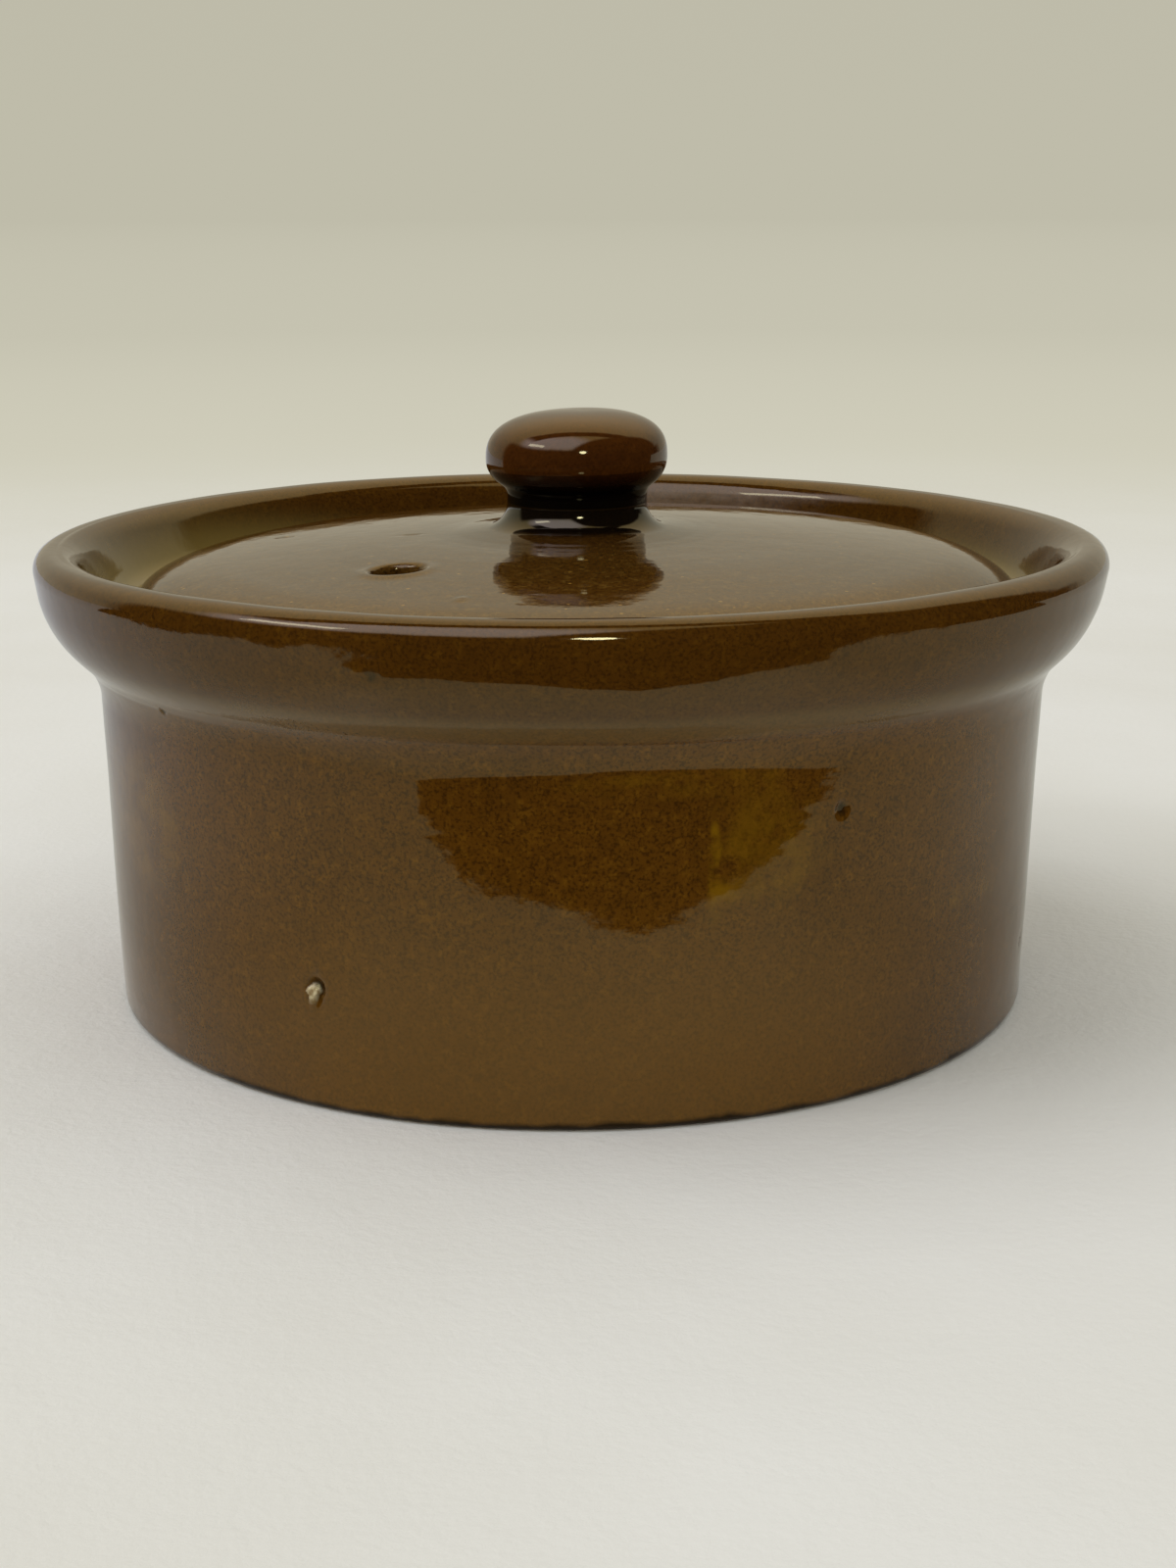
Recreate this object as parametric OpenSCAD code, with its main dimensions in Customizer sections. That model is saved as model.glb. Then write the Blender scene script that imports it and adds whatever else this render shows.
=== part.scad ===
// Small round stoneware casserole: a straight-sided dish with a flared collar,
// and a loose domed lid that sits in a gallery inside the rim.
// Millimetres, +Z up, origin on the table under the middle of the dish.

/* [Dish] */
// Outside diameter of the wall, just under the collar
body_d = 124.6; // [100:0.2:180]
// Height from the table to the crest of the rim
dish_h = 60.5; // [48:0.5:120]
// How much the wall draws in on its way down to the foot, on the radius
wall_taper = 1.5; // [0:0.1:4]
// Thickness of the wall
wall_t = 7.8; // [5:0.1:10]
// Thickness of the floor, from the table up
floor_t = 7; // [4:0.1:10]
// Inside radius between wall and floor
floor_fillet = 9; // [2:0.5:14]
// Width of the unglazed foot ring
foot_w = 7; // [4:0.5:14]
// Depth of the hollow under the base, inside the foot ring
foot_hollow = 1.2; // [0.4:0.1:2]
// Rounding of the foot's outer edge
foot_edge = 1.2; // [0.3:0.1:2]

/* [Collar and rim] */
// How far the corner of the rim, before it is rounded over, stands out past the wall
collar_out = 8.0; // [6:0.1:14]
// Height of the collar, from where it leaves the wall to the crest
collar_h = 16; // [15:0.5:26]
// Fillet under the collar
collar_fillet = 4; // [1:0.5:6]
// Depth of the collar's shoulder below the crest
shoulder_drop = 9.5; // [7:0.5:11]
// How far the shoulder lies inside the corner of the rim
shoulder_in = 1.3; // [0.2:0.1:2]
// Outward curve of the shoulder
shoulder_r = 22; // [8:1:30]
// Thickness of the lip, which is rounded over
lip_t = 5.8; // [4:0.1:8]

/* [Gallery] */
// Depth of the ledge that carries the lid, below the crest
gallery_depth = 9; // [6.5:0.1:12]
// How far the inside of the lip leans in on its way down to the ledge
gallery_lean = 1.6; // [0.4:0.1:2.5]
// Hollow curve between lip and ledge, as far as the lid leaves room for it
gallery_fillet = 4; // [1:0.5:6]
// Rounding of the ledge's inner edge
ledge_edge = 1.2; // [0.4:0.1:2]

/* [Lid] */
// How far the lid reaches over the ledge
lid_overlap = 3.5; // [1.5:0.1:4]
// Height of the straight part of the lid's edge
lid_edge = 1.4; // [1:0.1:4]
// Rounding of the lid's lower edge
lid_round = 0.6; // [0.2:0.1:0.8]
// Width of the rounded shoulder inside the lid's edge
lid_shoulder_w = 11; // [5:0.5:14]
// Fall of that shoulder to the edge
lid_shoulder_fall = 4; // [2:0.1:6]
// Rise of the dome from the shoulder to the middle
lid_rise = 4.2; // [2:0.1:12]
// Thickness of the dome
lid_t = 6; // [4:0.1:8]
// Depth of the ring under the lid that keeps it centred
flange_h = 6; // [3:0.5:12]
// Thickness of that ring
flange_t = 4.5; // [3:0.1:7]
// Room between that ring and the wall of the dish
lid_clearance = 1.5; // [0.5:0.1:2]

/* [Steam vent] */
// Bore of the steam vent
vent_d = 6.5; // [5.8:0.1:9]
// Softened edge round the vent's mouth
vent_edge = 0.8; // [0.2:0.1:1.5]
// Distance of the vent from the middle of the lid
vent_reach = 33.7; // [24:0.1:38]
// Direction of the vent, turned from +X
vent_angle = 229; // [0:1:359]

/* [Knob] */
// Widest diameter of the knob
knob_d = 24; // [20:0.5:36]
// Diameter of the knob's neck, and of its seat on the lid
neck_d = 18.5; // [10:0.5:19]
// Height of the straight part of the neck
neck_h = 1.7; // [0.2:0.1:4]
// Height from the top of the neck to the widest part
knob_low_h = 4; // [3:0.1:10]
// Height from the widest part to the top
knob_top_h = 6.3; // [4:0.1:12]
// Fullness of the knob's top, where 2 is an ellipse and more is squarer
knob_fullness = 2.6; // [2:0.1:3]
// Hollow curve where the underside of the knob meets its neck
neck_fillet = 1.6; // [0.4:0.1:2.5]
// Height of the soft flare in the lid round the knob's seat
seat_rise = 3.5; // [0.6:0.1:5]

/* [Hidden] */
$fn = 96;

// Turn of one facet along a rounded outline, in degrees
arc_step = 5;
// Steps of the dome, of its shoulder, and of the knob's outline below and above its widest part
dome_steps = 24;
lid_shoulder_steps = 12;
knob_low_steps = 6;
knob_top_steps = 18;
// Share of a side that one corner's rounding may use, alone or beside another
whole_side = 0.96;
half_side = 0.48;

// Dish, from the wall outward and inward
wall_r = body_d / 2;
foot_r = wall_r - wall_taper;
foot_hollow_r = foot_r - foot_w;
rim_r = wall_r + collar_out;
lip_in_r = rim_r - lip_t;
gallery_r = lip_in_r - gallery_lean;
cavity_r = wall_r - wall_t;
cavity_foot_r = cavity_r - wall_taper;
ledge_z = dish_h - gallery_depth;
collar_z = dish_h - collar_h;

// Lid, from the ledge up
lid_r = cavity_r + lid_overlap;
lid_edge_z = ledge_z + lid_edge;
lid_top_z = lid_edge_z + lid_shoulder_fall + lid_rise;
lid_shoulder_r = lid_r - lid_shoulder_w;
dome_r = (lid_r * lid_r + lid_rise * lid_rise) / (2 * lid_rise);
flange_r = cavity_r - lid_clearance;
flange_in_r = flange_r - flange_t;
flange_z = ledge_z - flange_h;
flange_round = flange_t / 3;
flange_root = lid_clearance / 2;
gallery_curve = min(gallery_fillet, gallery_r - lid_r - lid_clearance);

// Knob, from its seat up
neck_r = neck_d / 2;
knob_r = knob_d / 2;
seat_z = lid_top_z + seat_rise;
neck_top_z = seat_z + neck_h;
widest_z = neck_top_z + knob_low_h;
neck_turn = acos(neck_r / knob_r);
knob_low_axis = knob_low_h / sin(neck_turn);

stoneware_brown = "#5b3f1a";
lid_brown = "#6a4d26";
knob_brown = "#43240f";

// Height of the lid's dome, without its shoulder, at a distance from the middle
function dome_z(r) = lid_top_z - dome_r + sqrt(dome_r * dome_r - r * r);

// Point of an outline without its rounding radius
function place(corner) = [corner[0], corner[1]];

// Length of the side from one corner that the rounding at the other may use
function room(from, to) =
    norm(place(to) - place(from)) * (to[2] == 0 ? whole_side : half_side);

// Points of one corner [r, z, radius], rounded between its neighbours
function round_corner(before, corner, after) =
    let (
        to_before = (place(before) - place(corner)) / norm(place(before) - place(corner)),
        to_after = (place(after) - place(corner)) / norm(place(after) - place(corner)),
        half = acos(to_before * to_after) / 2,
        reach = min(corner[2] / tan(half), room(corner, before), room(corner, after)),
        radius = reach * tan(half),
        towards = (to_before + to_after) / norm(to_before + to_after),
        centre = place(corner) + towards * radius / sin(half),
        first = place(corner) + to_before * reach - centre,
        first_angle = atan2(first[1], first[0]),
        left_turn = to_after[0] * to_before[1] - to_after[1] * to_before[0] > 0,
        sweep = (left_turn ? 1 : -1) * (180 - 2 * half),
        steps = ceil(abs(sweep) / arc_step)
    )
    [for (i = [0 : steps])
        let (angle = first_angle + sweep * i / steps)
        centre + radius * [cos(angle), sin(angle)]];

// Outline through corners [r, z, radius], where a radius of 0 leaves a corner sharp
function rounded(corners) =
    let (last = len(corners) - 1)
    [for (i = [0 : last])
        each corners[i][2] == 0
            ? [place(corners[i])]
            : round_corner(corners[i == 0 ? last : i - 1], corners[i], corners[i == last ? 0 : i + 1])];

// Solid of revolution from such an outline
module turned(corners) {
    rotate_extrude() polygon(rounded(corners));
}

// Dish: hollow foot, tapered wall, flared collar, round lip, gallery and cavity
module dish() {
    color(stoneware_brown) turned([
        [0, foot_hollow, 0],
        [foot_hollow_r - foot_hollow, foot_hollow, foot_hollow / 2],
        [foot_hollow_r, 0, foot_hollow / 2],
        [foot_r, 0, foot_edge],
        [wall_r, collar_z, collar_fillet],
        [rim_r - shoulder_in, dish_h - shoulder_drop, shoulder_r],
        [rim_r, dish_h, lip_t / 2],
        [lip_in_r, dish_h, lip_t / 2],
        [gallery_r, ledge_z, gallery_curve],
        [cavity_r, ledge_z, ledge_edge],
        [cavity_foot_r, floor_t, floor_fillet],
        [0, floor_t, 0]
    ]);
}

// Cutter for the steam vent: a bore with a widened mouth, stood on the dome
module vent_cutter() {
    mouth_z = dome_z(vent_reach);
    mouth_r = vent_d / 2 + vent_edge;
    rotate(vent_angle) translate([vent_reach, 0, 0]) {
        translate([0, 0, flange_z]) cylinder(h = seat_z - flange_z, d = vent_d);
        translate([0, 0, mouth_z - vent_edge])
            cylinder(h = 2 * vent_edge, r1 = vent_d / 2, r2 = mouth_r + vent_edge);
    }
}

// Lid: domed shell with a seat for the knob, a round shoulder, a flat edge for the ledge
// and a centring ring
module lid() {
    dome_in = neck_r + 2 * seat_rise;
    dome_step = (lid_shoulder_r - dome_in) / dome_steps;
    under_step = flange_in_r / dome_steps;
    color(lid_brown) difference() {
        turned(concat(
            [for (i = [0 : dome_steps]) [under_step * i, dome_z(under_step * i) - lid_t, 0]],
            [
                [flange_in_r, flange_z, flange_round],
                [flange_r, flange_z, flange_round],
                [flange_r, ledge_z, flange_root],
                [lid_r, ledge_z, lid_round]
            ],
            [for (i = [0 : lid_shoulder_steps - 1])
                let (
                    turn = 90 * (1 - i / lid_shoulder_steps),
                    r = lid_shoulder_r + lid_shoulder_w * sin(turn)
                )
                [r, dome_z(r) - lid_shoulder_fall * (1 - cos(turn)), 0]],
            [for (i = [0 : dome_steps])
                let (r = lid_shoulder_r - dome_step * i) [r, dome_z(r), 0]],
            [
                [neck_r, dome_z(neck_r), seat_rise],
                [neck_r, seat_z, 0],
                [0, seat_z, 0]
            ]
        ));
        vent_cutter();
    }
}

// Knob: flattened bulb on a short neck, luted to the seat on the lid
module lid_knob() {
    low_turn = neck_turn * 2 / 3;
    power = 2 / knob_fullness;
    color(knob_brown) turned(concat(
        [
            [0, seat_z, 0],
            [neck_r, seat_z, 0],
            [neck_r, neck_top_z, neck_fillet]
        ],
        [for (i = [0 : knob_low_steps - 1])
            let (turn = low_turn * (1 - i / knob_low_steps))
            [knob_r * cos(turn), widest_z - knob_low_axis * sin(turn), 0]],
        [for (i = [0 : knob_top_steps])
            let (turn = 90 * i / knob_top_steps)
            [knob_r * pow(max(0, cos(turn)), power), widest_z + knob_top_h * pow(sin(turn), power), 0]]
    ));
}

dish();
lid();
lid_knob();
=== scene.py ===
"""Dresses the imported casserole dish: glazed dish, lid and knob on a pale cloth, with its light and camera."""

import math

import bpy
import numpy as np
from mathutils import Matrix, Vector


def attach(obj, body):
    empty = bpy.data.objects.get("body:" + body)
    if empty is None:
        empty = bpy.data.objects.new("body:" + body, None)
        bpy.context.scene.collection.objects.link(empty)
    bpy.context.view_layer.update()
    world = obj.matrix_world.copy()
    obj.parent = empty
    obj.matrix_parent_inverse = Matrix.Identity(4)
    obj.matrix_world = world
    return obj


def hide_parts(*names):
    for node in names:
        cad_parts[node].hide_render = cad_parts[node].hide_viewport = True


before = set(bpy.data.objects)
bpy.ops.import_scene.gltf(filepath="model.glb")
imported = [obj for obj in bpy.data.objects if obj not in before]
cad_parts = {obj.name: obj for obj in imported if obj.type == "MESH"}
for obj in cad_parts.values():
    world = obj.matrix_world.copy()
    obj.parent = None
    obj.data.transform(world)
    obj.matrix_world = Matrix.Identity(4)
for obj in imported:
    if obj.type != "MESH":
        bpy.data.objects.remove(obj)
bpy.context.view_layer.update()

MM = 0.001

# Sizes of the part, in millimetres, as in its source
WALL_R, WALL_TAPER, WALL_T = 62.3, 1.5, 7.8
DISH_H, FLOOR_T, FLOOR_FILLET = 60.5, 7.0, 9.0
FOOT_W, FOOT_HOLLOW, FOOT_EDGE = 7.0, 1.2, 1.2
COLLAR_OUT, COLLAR_H = 8.0, 16.0
SHOULDER_DROP, SHOULDER_IN, SHOULDER_R = 9.5, 1.3, 22.0
LIP_T = 5.8
GALLERY_DEPTH, GALLERY_LEAN, GALLERY_FILLET, LEDGE_EDGE = 9.0, 1.6, 4.0, 1.2
LID_OVERLAP, LID_EDGE, LID_ROUND, LID_RISE, LID_T = 3.5, 1.4, 0.6, 4.2, 6.0
LID_SHOULDER_W, LID_SHOULDER_FALL = 11.0, 4.0
FLANGE_H, FLANGE_T, LID_CLEARANCE = 6.0, 4.5, 1.5
VENT_R, VENT_EDGE, VENT_REACH, VENT_ANGLE = 3.25, 0.8, 33.7, 229.0
KNOB_R, NECK_R, NECK_H, NECK_FILLET = 12.0, 9.25, 1.7, 1.6
KNOB_LOW_H, KNOB_TOP_H, KNOB_FULLNESS = 4.0, 6.3, 2.6
SEAT_RISE = 3.5

# What follows from them
FOOT_R = WALL_R - WALL_TAPER
RIM_R = WALL_R + COLLAR_OUT
LIP_IN_R = RIM_R - LIP_T
CAVITY_R = WALL_R - WALL_T
LEDGE_Z = DISH_H - GALLERY_DEPTH
COLLAR_Z = DISH_H - COLLAR_H
LID_R = CAVITY_R + LID_OVERLAP
LID_EDGE_Z = LEDGE_Z + LID_EDGE
LID_TOP_Z = LID_EDGE_Z + LID_SHOULDER_FALL + LID_RISE
LID_SHOULDER_R = LID_R - LID_SHOULDER_W
DOME_R = (LID_R ** 2 + LID_RISE ** 2) / (2 * LID_RISE)
FLANGE_R = CAVITY_R - LID_CLEARANCE
FLANGE_IN_R = FLANGE_R - FLANGE_T
FLANGE_Z = LEDGE_Z - FLANGE_H
SEAT_Z = LID_TOP_Z + SEAT_RISE
NECK_TOP_Z = SEAT_Z + NECK_H
WIDEST_Z = NECK_TOP_Z + KNOB_LOW_H
VENT_TURN = math.radians(VENT_ANGLE)
VENT_AT = VENT_REACH * np.array((math.cos(VENT_TURN), math.sin(VENT_TURN)))

# The lid lies a little to the right in its gallery, and its right side is a little higher
LID_SHIFT, LID_LEAN = 0.9, 0.008

# How thick glaze softens the shape: fillets under the collar and inside the lip, how far it draws the foot
# of the gallery's wall in, and how far it raises the lid round the knob
COLLAR_HOLLOW, LIP_HOLLOW = 8.0, 3.9
GALLERY_POOL, SEAT_POOL = 1.8, 0.7

# Direction of the camera's side round the axis, in degrees from +X
FRONT = -90


# Outlines

# Share of a side that one corner's rounding may use, alone or beside another
WHOLE_SIDE, HALF_SIDE = 0.96, 0.48
# Radius past which a rounding is wide, and the turn between points of wide and narrow ones, in degrees
WIDE_ROUNDING, WIDE_STEP, NARROW_STEP = 5.0, 3.0, 5.0
# The finer mesh above and below a mark on the wall: its reach, and the gap between its points
FINE_HALF, FINE_GAP = 1.7, 0.18
# Radius past which a point of the dish's outline is on its wall, collar or gallery
ON_WALL_R = FOOT_R - 1


def round_corner(before, corner, after):
    """Points of one corner (r, z, radius), rounded between its neighbours."""
    place = np.array(corner[:2], float)
    ways, rooms = [], []
    for other in (before, after):
        way = np.array(other[:2], float) - place
        length = np.linalg.norm(way)
        ways.append(way / length)
        rooms.append(length * (WHOLE_SIDE if other[2] == 0 else HALF_SIDE))
    to_before, to_after = ways
    half = math.acos(float(np.clip(to_before @ to_after, -1, 1))) / 2
    reach = min(corner[2] / math.tan(half), *rooms)
    radius = reach * math.tan(half)
    towards = to_before + to_after
    centre = place + towards / np.linalg.norm(towards) * radius / math.sin(half)
    first = place + to_before * reach - centre
    turn = math.pi - 2 * half
    if to_after[0] * to_before[1] - to_after[1] * to_before[0] < 0:
        turn = -turn
    step = WIDE_STEP if corner[2] > WIDE_ROUNDING else NARROW_STEP
    steps = max(2, math.ceil(abs(math.degrees(turn)) / step))
    angles = math.atan2(first[1], first[0]) + turn * np.linspace(0, 1, steps + 1)
    return [centre + radius * np.array((math.cos(k), math.sin(k))) for k in angles]


def rounded(corners):
    """Open outline through corners (r, z, radius); a radius of 0 leaves a corner sharp."""
    out = []
    for i, corner in enumerate(corners):
        if corner[2] == 0 or i in (0, len(corners) - 1):
            out.append(np.array(corner[:2], float))
        else:
            out += round_corner(corners[i - 1], corner, corners[i + 1])
    return np.array(out)


def refine(outline, gap, fine_heights=(), gap_inside=None):
    """Adds points along an outline, at most gap apart, but closer on the wall near the given heights.

    gap_inside is the gap for the base and the inside, where it may be wider."""
    out = [outline[0]]
    for p, q in zip(outline[:-1], outline[1:]):
        length = np.linalg.norm(q - p)
        stops, t = [0.0], 0.0
        while t < length:
            here = p + (q - p) * t / length
            on_wall = here[0] > ON_WALL_R
            if on_wall and any(abs(here[1] - z) < FINE_HALF for z in fine_heights):
                t += FINE_GAP
            elif on_wall or gap_inside is None:
                t += gap
            else:
                t += gap_inside
            stops.append(t)
        scale = length / stops[-1]
        out += [p + (q - p) * s * scale / length for s in stops[1:]]
    return np.array(out)


def normals_of(outline):
    """Unit normals of an outline that runs up the outside: to the right of its direction."""
    along = np.gradient(outline, axis=0)
    n = np.stack([along[:, 1], -along[:, 0]], 1)
    return n / np.maximum(np.linalg.norm(n, axis=1, keepdims=True), 1e-9)


def lengths_along(outline, low, high):
    """Texture heights of an outline's points, by length, from low to high."""
    run = np.concatenate([[0], np.cumsum(np.linalg.norm(np.diff(outline, axis=0), axis=1))])
    return low + (high - low) * run / run[-1]


def angle_steps(count, fine_degrees, half=1.8, fine=0.18):
    """Angles round the axis in degrees, even but closer together round the given ones."""
    base = np.arange(count) * 360.0 / count
    for a in fine_degrees:
        base = base[np.abs((base - a + 180) % 360 - 180) > half]
        base = np.concatenate([base, (a + np.arange(-half, half + fine / 2, fine)) % 360])
    return np.unique(base.round(5))


# Small irregularities

def wave_field(seed, count, round_waves, up_length, size):
    """Function of (angle in radians, height in mm) that wanders smoothly by about size."""
    draw = np.random.default_rng(seed)
    around = draw.integers(1, round_waves + 1, count)
    up = draw.normal(0, 2 * math.pi / up_length, count)
    phase = draw.uniform(0, 2 * math.pi, count)

    def field(theta, z):
        total = sum(np.cos(m * theta + k * z + p) for m, k, p in zip(around, up, phase))
        return total * size / math.sqrt(count / 2)
    return field


def throwing_rings(along, theta, wide, narrow, sway):
    """Two sets of rings (height, radians per mm, start) along an outline; the wide ones sway."""
    wide_h, wide_k, wide_start = wide
    narrow_h, narrow_k, narrow_start = narrow
    swaying = along * wide_k + wide_start + sway * np.sin(theta * 2)
    return wide_h * np.sin(swaying) + narrow_h * np.sin(along * narrow_k + narrow_start)


def turned_from(theta, degrees):
    """Signed angle in radians from a direction given in degrees."""
    return np.mod(theta - math.radians(degrees) + math.pi, 2 * math.pi) - math.pi


def spot(theta, z, radius, place, size, sharp=1.0):
    """1 on a mark at (degrees, height), falling to 0 beyond its half sizes (across, up) in mm."""
    across = radius * turned_from(theta, place[0]) / size[0]
    return np.exp(-(across ** 2 + ((z - place[1]) / size[1]) ** 2) ** sharp)


def grown(size, times):
    """Half sizes of a mark, made larger or smaller."""
    return size[0] * times, size[1] * times


def polar(points):
    """Distance from the axis, angle round it and height of each point."""
    return np.hypot(points[:, 0], points[:, 1]), np.arctan2(points[:, 1], points[:, 0]), points[:, 2]


# Meshes

def linked(name, data):
    """New object in the scene."""
    obj = bpy.data.objects.new(name, data)
    bpy.context.scene.collection.objects.link(obj)
    return obj


class Skin:
    """Points, faces and texture places of one piece."""

    def __init__(self):
        self.points, self.faces, self.uvs, self.material_of = [], [], [], []
        self.count = 0
        self.sharp = []

    def add(self, points):
        """Adds points and gives the index of the first."""
        first = self.count
        self.points.append(np.asarray(points, float).reshape(-1, 3))
        self.count += len(self.points[-1])
        return first

    def rings(self, index, v, keep=None, material=0):
        """Quads between rings of points: index has a row per ring, v a texture height per ring."""
        turn = np.roll(index, -1, 1)
        quads = np.stack([index[:-1], turn[:-1], turn[1:], index[1:]], -1).reshape(-1, 4)
        rows, count = index.shape
        u, v = np.linspace(0, 1, count + 1), np.asarray(v)
        low, left = (a.ravel() for a in np.meshgrid(np.arange(rows - 1), np.arange(count), indexing="ij"))
        corners = ((left, low), (left + 1, low), (left + 1, low + 1), (left, low + 1))
        uv = np.stack([np.stack([u[across], v[up]], 1) for across, up in corners], 1)
        keep = np.ones(len(quads), bool) if keep is None else keep
        self.faces += quads[keep].tolist()
        self.uvs.append(uv[keep].reshape(-1, 2))
        self.material_of += np.broadcast_to(material, len(quads))[keep].tolist()

    def fan(self, pole, ring, v_pole, v_ring, material=0, flip=False):
        """Triangles from a pole to a ring."""
        turn, count = np.roll(ring, -1), len(ring)
        u = np.linspace(0, 1, count + 1)
        a, b, ua, ub = (turn, ring, u[1:], u[:-1]) if flip else (ring, turn, u[:-1], u[1:])
        self.faces += np.stack([np.full(count, pole), b, a], 1).tolist()
        corners = (((ua + ub) / 2, v_pole), (ub, v_ring), (ua, v_ring))
        uv = [np.stack([across, np.full(count, up)], 1) for across, up in corners]
        self.uvs.append(np.stack(uv, 1).reshape(-1, 2))
        self.material_of += [material] * count

    def make(self, name, body, node, materials, tones):
        """Turns the skin into an object that rides on a body and stands for a node."""
        points = np.concatenate(self.points)
        used = np.zeros(len(points), bool)
        for face in self.faces:
            used[face] = True
        new = np.cumsum(used) - 1
        mesh = bpy.data.meshes.new(name)
        mesh.from_pydata((points[used] * MM).tolist(), [], [new[f].tolist() for f in self.faces])
        mesh.polygons.foreach_set("use_smooth", [True] * len(mesh.polygons))
        mesh.polygons.foreach_set("material_index", self.material_of)
        for material in materials:
            mesh.materials.append(material)
        uv_map = mesh.uv_layers.new(name="OFBake")
        uv_map.data.foreach_set("uv", np.concatenate(self.uvs).ravel().astype(np.float32))
        for key, tone in tones.items():
            layer = mesh.attributes.new(key, "FLOAT", "POINT")
            layer.data.foreach_set("value", tone(points[used]).astype(np.float32))
        on_seam = np.zeros(len(points), bool)
        on_seam[self.sharp] = True
        on_seam = on_seam[used]
        for edge in mesh.edges:
            edge.use_edge_sharp = all(on_seam[end] for end in edge.vertices)
        mesh.update()
        piece = linked(name, mesh)
        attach(piece, body)
        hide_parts(node)
        return piece


# Dish

# Its mesh: gaps between points on the outside and on the inside, and steps round the axis
DISH_GAP, DISH_GAP_INSIDE, DISH_STEPS = 1.2, 3.5, 240
# Radius past which a point of its skin is on the outside, where its normal leans no further in than this
OUTSIDE_R, OUTSIDE_NORMAL = FOOT_R - 2, -0.2
# How far the bare clay reaches above the hollow of the foot
BARE_OVER = 0.05
# Height at which the glaze ends above the foot; under it the glaze mirrors less, and a dark line is painted as
# shade where the foot meets the cloth
GLAZE_END_Z = 0.65

# Marks on the dish: (degrees, height), half sizes (across, up), depth, in mm
STONE_PIT = ((-119.0, 15.1), (1.15, 1.3), 0.9)
DIMPLE = ((-60.5, 36.3), (0.85, 1.0), 0.35)
COLLAR_PIT = ((-107.8, 54.4), (0.9, 0.6), 0.02)
NICK = ((-18.2, 9.2), (0.4, 0.5), 0.3)
COLLAR_NICK = ((-139.0, 45.4), (0.55, 0.4), 0.2)
SCUFF = ((-72.9, 22.2), (1.2, 0.4), 0.06)
PITS = (STONE_PIT, DIMPLE, COLLAR_PIT, COLLAR_NICK, NICK)
# The raised rim of a mark and the painted shade at the bottom of a pit, as shares of the mark's depth and size
PIT_RIM, PIT_RIM_REACH, PIT_SHADE_REACH = 0.12, 2.2, 0.8
# The grain of stone that the first pit holds: place, half sizes, height over the pit's floor. Then its tilt
STONE = ((-119.45, 14.75), (0.66, 0.66), 0.75)
STONE_TILT = math.radians(40)
# A swelling on the collar at the left, and a hollow in it at the right: place, half sizes, height
SWELLING = ((-108.4, 53.4), (4.2, 2.2), 0.28)
HOLLOW = ((-69.8, 51.5), (9.5, 5.0), -0.45)
# The flatter right side of the collar: depth, height, half its height, half its turn in radians
FLAT_DEPTH, FLAT_Z, FLAT_HALF, FLAT_TURN = 0.45, 51.5, 5.5, 0.55
# The fine crease under the collar: height, half its width, half the turn of its deeper front in radians, and
# the share of its depth that is left behind. Its height and depth waver: size, waves round the axis, start
CREASE_Z, CREASE_HALF, CREASE_TURN, CREASE_BEHIND = 45.6, 0.35, 0.6, 0.3
CREASE_WAVES = ((0.3, 3, 0), (0.15, 7, 1))
CREASE_DEPTH, CREASE_DEPTH_WAVE = 0.05, (0.04, 5, 2)
# The true foot of the wall: its height, and the height over which the wall above grows uneven
TRUE_FOOT, UNEVEN_OVER = 0.5, 4
# Throwing rings: height, radians per mm, start. Then how far the wide ones sway, in radians
DISH_WIDE_RINGS, DISH_NARROW_RINGS, DISH_SWAY = (0.004, 1.9, 0.0), (0.003, 3.7, 1.0), 0.8

# Where the glaze on the wall lies thinner and yellower: (degrees, height), half sizes, strength
HONEY_STREAK = (-75.2, 32.5)
HONEY_PATCHES = (
    ((-69.0, 33.0), (6.6, 7.0), 0.5),
    (HONEY_STREAK, (0.7, 5.0), 1.0),
    ((-78.0, 41.2), (13.0, 1.3), 0.4),
    ((-68.0, 25.6), (3.2, 0.5), 0.8),
    ((-83.3, 12.3), (0.8, 0.9), 0.9),
    ((-74.5, 27.0), (1.6, 2.4), 0.7),
    ((-40.0, 22.0), (9.0, 0.8), 0.4),
    ((-150.0, 30.0), (12.0, 9.0), 0.4),
    ((35.0, 24.0), (16.0, 10.0), 0.6),
    ((100.0, 30.0), (20.0, 8.0), 0.5),
)

# The olive pool in the gallery: its height at the front, what the sides add, the right side's share of that
POOL_H, POOL_H_ASIDE, POOL_RIGHT = 1.8, 3.0, 0.15
# Its middle above the ledge, its strength at the front, and where its sides begin and over how much they
# grow, as shares of a direction
POOL_MIDDLE, POOL_FRONT, ASIDE_FROM, ASIDE_OVER = 0.6, 0.75, 0.45, 0.4
# The pool along the edge of the cavity's floor: width, height, strength
CORNER_W, CORNER_H, CORNER_SHARE = 16, 4, 0.7


def dish_outline():
    """Half section of the dish, from under its middle up the outside and down into the cavity."""
    return rounded([
        (0, FOOT_HOLLOW, 0),
        (FOOT_R - FOOT_W - FOOT_HOLLOW, FOOT_HOLLOW, FOOT_HOLLOW / 2),
        (FOOT_R - FOOT_W, 0, FOOT_HOLLOW / 2),
        (FOOT_R, 0, FOOT_EDGE),
        (WALL_R, COLLAR_Z, COLLAR_HOLLOW),
        (RIM_R - SHOULDER_IN, DISH_H - SHOULDER_DROP, SHOULDER_R),
        (RIM_R, DISH_H, LIP_T / 2),
        (LIP_IN_R, DISH_H, LIP_HOLLOW),
        (LIP_IN_R - GALLERY_LEAN - GALLERY_POOL, LEDGE_Z, GALLERY_FILLET),
        (CAVITY_R, LEDGE_Z, LEDGE_EDGE),
        (CAVITY_R - WALL_TAPER, FLOOR_T, FLOOR_FILLET),
        (0, FLOOR_T, 0),
    ])


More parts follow.
